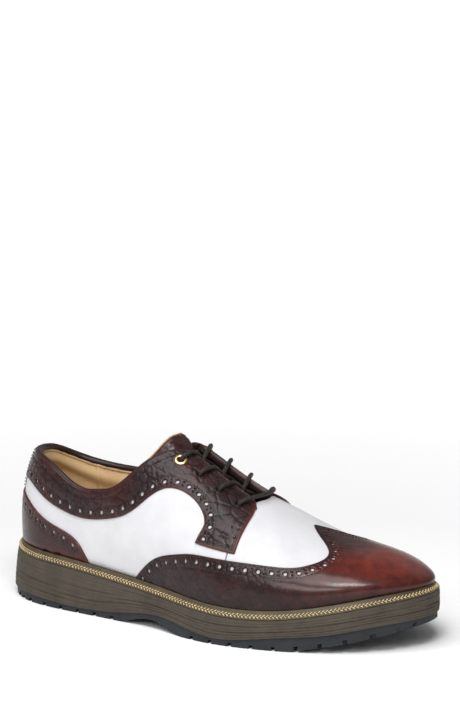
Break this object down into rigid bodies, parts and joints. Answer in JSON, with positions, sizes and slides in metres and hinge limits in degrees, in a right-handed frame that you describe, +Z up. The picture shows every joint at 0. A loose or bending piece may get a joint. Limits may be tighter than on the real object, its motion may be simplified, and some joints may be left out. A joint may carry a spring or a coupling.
{
  "type": "golf shoe",
  "caption": "Right-foot lace-up golf shoe: white leather upper with brown wing tip, collar and heel foxing on a stitched welt, foam midsole and lugged rubber outsole.",
  "frame": {"origin": "middle of the shoe's plan box, on the ground plane that the lugs stand on", "axes": "+X from heel to toe, +Y to the medial side, +Z up"},
  "size_m": [0.306, 0.1181, 0.1168],
  "materials": {
    "outsole_rubber": "matt black moulded rubber with a cut tread",
    "midsole_foam": "matt taupe foam with long moulded grooves",
    "welt_leather": "brown storm welt, edge burnished",
    "welt_thread": "waxed gold-beige thread",
    "fibre_board": "pressed fibre board",
    "cork": "granulated cork",
    "shank_steel": "sprung steel strip",
    "white_leather": "full-grain tumbled white leather, soft sheen",
    "tan_lining": "smooth tan lining leather",
    "brown_leather": "dark brown polished leather, embossed and burnished",
    "dark_leather": "near-black brown leather",
    "backing_fabric": "cotton drill backing",
    "stiffener_board": "moulded thermoplastic stiffener",
    "foam": "soft upholstery foam",
    "gold_brass": "polished gold-coloured brass",
    "dark_metal": "blackened brass",
    "lace_cotton": "round waxed dark brown lace",
    "aglet_plastic": "dark gloss tube",
    "footbed_cover": "tan leather over moulded foam",
    "gel": "soft gel, matt"
  },
  "bodies": {
    "shoe": {"outsole": "outsole_rubber", "midsole": "midsole_foam", "welt": "welt_leather", "welt_stitching": "welt_thread", "insole_board": "fibre_board", "bottom_filler": "cork", "shank": "shank_steel", "quarter_lateral": "white_leather", "quarter_medial": "white_leather", "quarter_lining": "tan_lining", "vamp": "white_leather", "vamp_interlining": "backing_fabric", "vamp_lining": "tan_lining", "wing_tip": "brown_leather", "collar_facing_lateral": "brown_leather", "collar_facing_medial": "brown_leather", "facing_stay_lateral": "backing_fabric", "facing_stay_medial": "backing_fabric", "heel_foxing": "brown_leather", "backstay": "brown_leather", "heel_counter": "stiffener_board", "collar_padding": "foam", "topline_binding": "dark_leather", "top_eyelets": "gold_brass", "blind_eyelets": "dark_metal", "shoelace": "lace_cotton", "aglets": "aglet_plastic"},
    "tongue": {"tongue_outer": "dark_leather", "tongue_padding": "foam", "tongue_lining": "tan_lining"},
    "insert": {"footbed": "footbed_cover", "heel_pad": "gel"}
  },
  "joints": [
    {"name": "tongue_flex", "type": "hinge", "parent": "shoe", "child": "tongue", "pos_m": [0.0555, 0.0043, 0.0712], "axis": [0, 1, 0], "range_deg": [-10, 0], "stiffness_Nm_per_rad": 0.15, "springref_deg": 4.58},
    {"name": "footbed_lift", "type": "hinge", "parent": "shoe", "child": "insert", "pos_m": [0.139, 0.0053, 0.0368], "axis": [0, 1, 0], "range_deg": [0, 4]}
  ]
}
